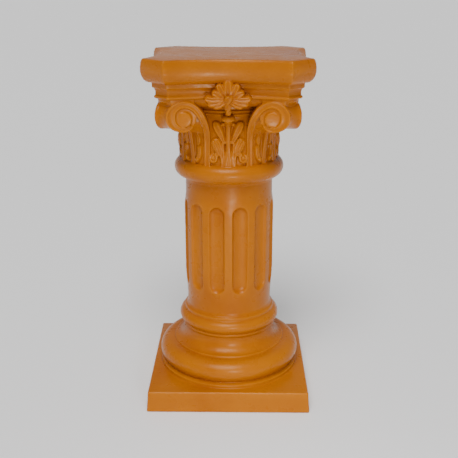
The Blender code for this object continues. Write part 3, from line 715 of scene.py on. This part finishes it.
def add_side_leaves(mesh):
    """Add the slim half leaf beside each stem and the tongue leaf that props the corner."""
    for side in SIDES:
        add_bell_lobe(mesh, side, UPPER_SIDE_LOBE)
        add_bell_lobe(mesh, side, LOWER_SIDE_LOBE)
        add_bead(mesh, side, SIDE_BUD)
    corner = radians(45.0) * BELL_RADIUS
    stations = 24
    rings = []
    for i in range(stations + 1):
        share = i / stations
        half = mix(TONGUE_HALF_WIDTH, TONGUE_TIP_HALF_WIDTH, share ** 0.8)
        high = TONGUE_RELIEF + TONGUE_LEAN * share ** 1.8
        level = BELL_BOTTOM + mix(TONGUE_START, TONGUE_HEIGHT, share)
        ring = [on_bell(corner - half, level, -ROOT)]
        ring += [on_bell(corner + half * v, level, high * dome_height(v, 3)) for v in side_to_side(14)]
        ring.append(on_bell(corner + half, level, -ROOT))
        rings.append(ring)
    add_solid(mesh, rings)


# Scrolls


def scroll_middle():
    """Centre of a scroll's outer turn on its face: distance along the side, and level."""
    outer = corner_x(BAND_INSET) + SCROLL_OVERHANG
    return outer - SCROLL_RADIUS, ABACUS_BOTTOM - SCROLL_DROP - SCROLL_RADIUS


def scroll_depth(x):
    """Distance from the axis to the face of the scrolls."""
    return side_depth(x, SCROLL_FACE_INSET)


def band_depth(x, lift):
    """Distance to the front of a scroll's band: low on the bell, then out to the scroll."""
    on_stem = sqrt(max((BELL_RADIUS + STEM_RELIEF) ** 2 - x ** 2, 0.0))
    return on_stem + (scroll_depth(x) - on_stem) * lift


def band_path():
    """Middle line of a band: (x, level, half width, thickness, share of the way out to the face)."""
    x_middle, level_middle = scroll_middle()
    stem_top = BELL_BOTTOM + STEM_HEIGHT
    top = ABACUS_BOTTOM - SCROLL_DROP - STEM_HALF_WIDTH
    turn_x = x_middle - SCROLL_TURN_SHIFT
    reach = x_middle + SCROLL_RADIUS - SIDE_HALF_WIDTH - turn_x
    bottom = level_middle - SCROLL_RADIUS + FOOT_HALF_WIDTH
    half_turn = (top - bottom) / 2.0
    inner = SCROLL_TAIL_RADIUS
    stem = [(STEM_OFFSET, mix(BELL_BOTTOM - ROOT, stem_top, i / STEM_STEPS)) for i in range(STEM_STEPS)]
    arch = arc((turn_x, stem_top), (turn_x - STEM_OFFSET, top - stem_top), 180, 90, ARCH_STEPS)
    round_turn = arc((turn_x, top - half_turn), (reach, half_turn), 90, -90, TURN_STEPS)
    tail = arc((turn_x, bottom + inner), (inner, inner), -90, -150, TAIL_STEPS)
    stations = []
    for x, level in stem + arch[:-1]:
        lift = smooth_step((level - BELL_BOTTOM - STEM_LIFT_START) / STEM_LIFT_HEIGHT)
        thickness = mix(STEM_THICKNESS, ARCH_THICKNESS, smooth_step((x - STEM_OFFSET) / ARCH_THICKENING))
        stations.append((x, level, STEM_HALF_WIDTH, thickness, lift))
    for i, (x, level) in enumerate(round_turn[:-1]):
        share = i / TURN_STEPS
        plain = mix(STEM_HALF_WIDTH, FOOT_HALF_WIDTH, share)
        half = mix(plain, SIDE_HALF_WIDTH, sin(pi * share) ** 2)
        stations.append((x, level, half, 2.0 * ROOT + SCROLL_RELIEF, 1.0))
    for i, (x, level) in enumerate(tail):
        half = mix(FOOT_HALF_WIDTH, END_HALF_WIDTH, i / TAIL_STEPS)
        stations.append((x, level, half, SCROLL_RELIEF + ROOT, 1.0))
    return stations


def add_band(mesh, side):
    """Add one scroll band: two rims with a channel between them, and eased edges."""
    path = band_path()
    rings = []
    for i, (x, level, half, thickness, lift) in enumerate(path):
        dx, dz = across(path, i)
        ring = []
        for v in side_to_side(14):
            px = x + dx * half * v
            ease = EDGE_EASE * max(abs(v) - 0.8, 0.0) / 0.2
            channel = CHANNEL_DEPTH * (1.0 - smooth_step((abs(v) - 0.25) / 0.5))
            ring.append((side * px, -(band_depth(px, lift) - ease - channel), level + dz * half * v))
        for v in (1, -1):
            px = x + dx * half * v
            ring.append((side * px, -(band_depth(px, lift) - thickness), level + dz * half * v))
        rings.append(ring)
    add_solid(mesh, rings)


def add_eye(mesh, side):
    """Add the round, softly domed eye of a scroll."""
    x_middle, level_middle = scroll_middle()
    x = side * (x_middle - EYE_INWARD)
    level = level_middle - EYE_DROP
    turns = full_turn(40)
    rows = [(1.0, -2.0 * ROOT), (1.0, -EYE_RIM)]
    rows += [(share, dome * EYE_DOME) for share, dome in EYE_ROWS]
    rings = []
    for share, out in rows:
        radius = EYE_RADIUS * share
        y = -(scroll_depth(abs(x)) + out)
        rings.append([(x + radius * cos(t), y, level + radius * sin(t)) for t in turns])
    add_solid(mesh, rings)


def add_drum(mesh):
    """Add the solid behind a corner's two scroll faces, with a channel round its corner band."""
    x_middle, level_middle = scroll_middle()
    layers = 16
    rings = []
    for layer in range(layers + 1):
        share = layer / layers
        rim = 1.0 - smooth_step(min(share, 1.0 - share) / DRUM_RIM)
        radius = SCROLL_RADIUS - DRUM_INSET - DRUM_HOLLOW * sin(pi * share) ** 0.6 * (1.0 - rim)
        front = []
        for a in full_turn(72):
            x = x_middle + radius * cos(a)
            front.append(Vector((x, -(scroll_depth(x) - DRUM_RECESS), level_middle + radius * sin(a))))
        rings.append([near.lerp(far, share) for near, far in zip(front, swap_sides(front))])
    add_solid(mesh, rings)


def add_arm(mesh):
    """Add the arm that carries a corner's scrolls, and the web that runs from it down to the bell."""
    x_middle, level_middle = scroll_middle()
    low = level_middle - ARM_DROP
    top = ABACUS_BOTTOM + ROOT
    middle_line = [(x, level) for x, level, _, _, _ in band_path()[:STEM_STEPS + ARCH_STEPS - 1]]
    outline = [(x, level) for x, level in middle_line[STEM_STEPS:] if level > low]
    end = x_middle + ARM_REACH
    outline += [(outline[-1][0], top), (end, top), (end, level_middle), (x_middle, low)]
    front = [Vector((x, -(scroll_depth(x) - ARM_RECESS), level)) for x, level in outline]
    add_solid(mesh, [swap_sides(front), front])
    corner = BELL_RADIUS / sqrt(2.0)
    stations = 12
    columns = 8
    rings = []
    for i in range(stations + 1):
        share = i / stations
        level = mix(low - WEB_DROP, low + WEB_OVERLAP, share)
        stem = next(x for x, height in middle_line if height >= level)
        ring = []
        for k in range(columns + 1):
            x = mix(stem, mix(corner, x_middle, share), k / columns)
            on_bell_face = sqrt((BELL_RADIUS + WEB_RELIEF) ** 2 - min(x, corner) ** 2)
            depth = mix(on_bell_face, scroll_depth(x) - ARM_RECESS, smooth_step(share))
            ring.append(Vector((x, -depth, level)))
        rings.append(ring + swap_sides(ring[::-1]))
    add_solid(mesh, rings)


def add_pad(mesh):
    """Add the pad between a corner's scrolls and the underside of the abacus, and the knob on it."""
    x_middle, level_middle = scroll_middle()
    low = level_middle + 0.6 * SCROLL_RADIUS
    top = ABACUS_BOTTOM + ROOT
    inner = x_middle - PAD_INNER
    outline = [(inner, low), (x_middle + PAD_OUTER, low), (x_middle + PAD_TOP_OUTER, top), (inner, top)]
    front = [Vector((x, -(scroll_depth(x) - PAD_RECESS), level)) for x, level in outline]
    add_solid(mesh, [swap_sides(front), front])
    add_ball(mesh, (KNOB_REACH, -KNOB_REACH, ABACUS_BOTTOM - KNOB_DROP), KNOB_RADII, yaw=45.0)


# Flower


def add_pistil(mesh):
    """Add the flower's pistil: twisted strands that hang down and lean back to the bell."""
    depth = side_depth(0.0, 0.0) + PISTIL_FORWARD
    top = FLOWER_LEVEL + PISTIL_RISE
    stations = 56
    rings = []
    for i in range(stations + 1):
        share = i / stations
        near_end = max(share - 1.0 + PISTIL_END, 0.0) / PISTIL_END
        end = sqrt(max(1.0 - near_end ** 2, 0.0))
        radius = PISTIL_RADIUS * mix(1.0, PISTIL_TAPER, share ** 1.5) * mix(PISTIL_TIP, 1.0, end)
        ring = []
        for t in full_turn(24):
            swell = 1.0 + PISTIL_SWELL * sin(PISTIL_STRANDS * t + PISTIL_TWIST * share)
            y = PISTIL_LEAN * share - depth + PISTIL_FLATNESS * radius * swell * sin(t)
            ring.append((radius * swell * cos(t), y, top - PISTIL_LENGTH * share))
        rings.append(ring)
    add_solid(mesh, rings)


def add_flower(mesh):
    """Add the flower on a side of the abacus: boss, ridged petals and twisted pistil."""
    add_ball(mesh, (0.0, -side_depth(0.0, BAND_INSET), FLOWER_LEVEL + PETAL_RELIEF), BOSS_RADII)
    petals = [(1, MIDDLE_PETAL)] + [(side, petal) for side in SIDES for petal in SIDE_PETALS]
    for side, (*points, half) in petals:
        path = curve_through(*[(side * u, FLOWER_LEVEL + height) for u, height in points])
        shape = (half, PETAL_THICKNESS, PETAL_RIDGES, PETAL_GROOVE, PETAL_START, PETAL_WIDEST)
        add_lobe(mesh, on_flower, path, *shape, root=PETAL_ROOT)
    add_pistil(mesh)


def make_capital():
    """Astragal, bell, leaves, scrolls, abacus and flowers."""
    mesh = bmesh.new()
    add_leaf(mesh)
    add_side_leaves(mesh)
    for side in SIDES:
        add_band(mesh, side)
        add_eye(mesh, side)
    add_drum(mesh)
    add_arm(mesh)
    add_pad(mesh)
    add_flower(mesh)
    turn_copies(mesh, FACES)
    add_turned(mesh, bell_profile(), 240)
    add_abacus(mesh)
    return new_object("capital", mesh)


# Casting


def cast(item, cell, triangles):
    """Fuse an object's forms into one skin, soften it, and thin it to a number of triangles."""
    remesh = item.modifiers.new("fuse", "REMESH")
    remesh.mode = "VOXEL"
    remesh.voxel_size = cell
    remesh.adaptivity = 0.0
    soften = item.modifiers.new("soften", "SMOOTH")
    soften.factor = 0.5
    soften.iterations = SMOOTHING_ROUNDS
    apply_modifiers(item)
    whole = sum(len(face.vertices) - 2 for face in item.data.polygons)
    thin = item.modifiers.new("thin", "DECIMATE")
    thin.decimate_type = "COLLAPSE"
    thin.ratio = min(triangles / whole, 1.0)
    apply_modifiers(item)


# Materials


def new_material(name):
    """New material, its nodes, its links and its shader."""
    material = bpy.data.materials.new(name)
    material.use_nodes = True
    tree = material.node_tree
    return material, tree.nodes, tree.links, tree.nodes["Principled BSDF"]


def add_noise(nodes, settings):
    """Add a noise texture with the given settings."""
    noise = nodes.new("ShaderNodeTexNoise")
    for socket, value in settings.items():
        noise.inputs[socket].default_value = value
    return noise


def add_range(nodes, source, result):
    """Add a node that maps one range of values onto another."""
    node = nodes.new("ShaderNodeMapRange")
    node.inputs["From Min"].default_value, node.inputs["From Max"].default_value = source
    node.inputs["To Min"].default_value, node.inputs["To Max"].default_value = result
    return node


def ochre_paint():
    """Satin ochre paint, slightly uneven in tone, gloss and surface, with painted shade in hollows and a
    painted highlight on ridges.
    """
    material, nodes, links, shader = new_material("ochre_paint")
    place = nodes.new("ShaderNodeTexCoord")
    tone = add_noise(nodes, TONE_NOISE)
    gloss = add_noise(nodes, GLOSS_NOISE)
    grain = add_noise(nodes, GRAIN_NOISE)
    for noise in (tone, gloss, grain):
        links.new(place.outputs["Object"], noise.inputs["Vector"])
    geometry = nodes.new("ShaderNodeNewGeometry")
    # Painted shade and highlight from pointiness: hollows and creases darker, ridges lighter
    painted_relief_light = add_range(nodes, PAINTED_SHADE_POINTINESS, PAINTED_SHADE_AND_HIGHLIGHT)
    links.new(geometry.outputs["Pointiness"], painted_relief_light.inputs["Value"])
    blend = nodes.new("ShaderNodeMath")
    links.new(tone.outputs["Fac"], blend.inputs[0])
    links.new(painted_relief_light.outputs["Result"], blend.inputs[1])
    ramp = nodes.new("ShaderNodeValToRGB")
    stops = ramp.color_ramp.elements
    stops.new(PAINT_TONES[1][0])
    for stop, (position, colour) in zip(stops, PAINT_TONES):
        stop.position = position
        stop.color = (*colour, 1.0)
    links.new(blend.outputs["Value"], ramp.inputs["Fac"])
    links.new(ramp.outputs["Color"], shader.inputs["Base Color"])
    spread = add_range(nodes, GLOSS_NOISE_RANGE, ROUGHNESS)
    links.new(gloss.outputs["Fac"], spread.inputs["Value"])
    links.new(spread.outputs["Result"], shader.inputs["Roughness"])
    bump = nodes.new("ShaderNodeBump")
    bump.inputs["Strength"].default_value = GRAIN_STRENGTH
    bump.inputs["Distance"].default_value = GRAIN_DISTANCE
    links.new(grain.outputs["Fac"], bump.inputs["Height"])
    links.new(bump.outputs["Normal"], shader.inputs["Normal"])
    shader.inputs["Specular IOR Level"].default_value = SHEEN_LEVEL
    shader.inputs["Specular Tint"].default_value = SHEEN_TINT
    return material


def pale_floor():
    """A wide, plain pale floor."""
    mesh = bmesh.new()
    bmesh.ops.create_grid(mesh, x_segments=1, y_segments=1, size=FLOOR_SIZE)
    floor = new_object("floor", mesh)
    material, nodes, links, shader = new_material("pale_floor")
    noise = add_noise(nodes, FLOOR_NOISE)
    ramp = nodes.new("ShaderNodeValToRGB")
    for stop, tone in zip(ramp.color_ramp.elements, FLOOR_TONES):
        stop.color = (tone, tone, tone, 1.0)
    links.new(noise.outputs["Fac"], ramp.inputs["Fac"])
    links.new(ramp.outputs["Color"], shader.inputs["Base Color"])
    shader.inputs["Roughness"].default_value = FLOOR_ROUGHNESS
    floor.data.materials.append(material)
    floor.location.z = -FLOOR_DROP


# Light and camera


def link_new(name, data):
    """Link a new object with the given data."""
    item = bpy.data.objects.new(name, data)
    bpy.context.scene.collection.objects.link(item)
    return item


def add_front_light():
    """Add the soft square light in front of the column."""
    light = link_new("front", bpy.data.lights.new("front", "AREA"))
    light.data.energy = FRONT_LIGHT_POWER
    light.data.size = FRONT_LIGHT_SIZE
    light.location = FRONT_LIGHT_PLACE
    towards = Vector(FRONT_LIGHT_AIM) - Vector(FRONT_LIGHT_PLACE)
    light.rotation_euler = towards.to_track_quat("-Z", "Y").to_euler()


def add_sun():
    """Add the soft sun that falls from the front and above."""
    sun = link_new("soft_sun", bpy.data.lights.new("soft_sun", "SUN"))
    sun.data.energy = SUN_STRENGTH
    sun.data.angle = radians(SUN_ANGLE)
    sun.rotation_euler = Vector(SUN_DIRECTION).to_track_quat("-Z", "Y").to_euler()


def set_surroundings():
    """Give the scene pale surroundings, brighter behind the column and at the horizon."""
    world = bpy.data.worlds.new("surroundings")
    world.use_nodes = True
    nodes = world.node_tree.nodes
    links = world.node_tree.links
    place = nodes.new("ShaderNodeTexCoord")
    split = nodes.new("ShaderNodeSeparateXYZ")
    links.new(place.outputs["Generated"], split.inputs["Vector"])
    total = nodes.new("ShaderNodeMath")
    glows = (("Y", BEHIND_RANGE, BEHIND_GLOW), ("Z", HORIZON_RANGE, HORIZON_GLOW))
    for i, (axis, source, result) in enumerate(glows):
        glow = add_range(nodes, source, result)
        glow.interpolation_type = "SMOOTHSTEP"
        links.new(split.outputs[axis], glow.inputs["Value"])
        links.new(glow.outputs["Result"], total.inputs[i])
    background = nodes["Background"]
    background.inputs["Color"].default_value = (1.0, 1.0, 1.0, 1.0)
    links.new(total.outputs["Value"], background.inputs["Strength"])
    bpy.context.scene.world = world


def add_camera():
    """Add the camera at the photograph's angle."""
    camera = link_new("camera", bpy.data.cameras.new("camera"))
    camera.data.lens = CAMERA_LENS
    camera.data.sensor_width = CAMERA_SENSOR
    yaw = radians(CAMERA_YAW)
    camera.location = (CAMERA_DISTANCE * sin(yaw), -CAMERA_DISTANCE * cos(yaw), CAMERA_HEIGHT)
    camera.rotation_euler = (radians(90.0 - CAMERA_PITCH), 0.0, yaw)
    bpy.context.scene.camera = camera


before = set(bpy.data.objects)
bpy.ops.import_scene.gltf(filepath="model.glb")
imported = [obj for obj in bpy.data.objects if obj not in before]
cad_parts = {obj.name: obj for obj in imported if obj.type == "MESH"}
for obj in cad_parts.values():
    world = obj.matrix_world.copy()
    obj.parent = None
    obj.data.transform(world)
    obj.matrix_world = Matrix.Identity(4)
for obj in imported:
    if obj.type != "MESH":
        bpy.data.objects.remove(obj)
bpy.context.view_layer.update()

column = make_capital()
cast(column, CAPITAL_CELL, CAPITAL_TRIANGLES)
lower = make_lower()
cast(lower, LOWER_CELL, LOWER_TRIANGLES)
combine(column, lower, "UNION", "MANIFOLD")
column.name = "round_column"
column.data.name = "round_column"
column.data.shade_smooth()
column.data.materials.clear()
column.data.materials.append(ochre_paint())
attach(column, "root")
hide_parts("column")

pale_floor()
add_front_light()
add_sun()
set_surroundings()
add_camera()
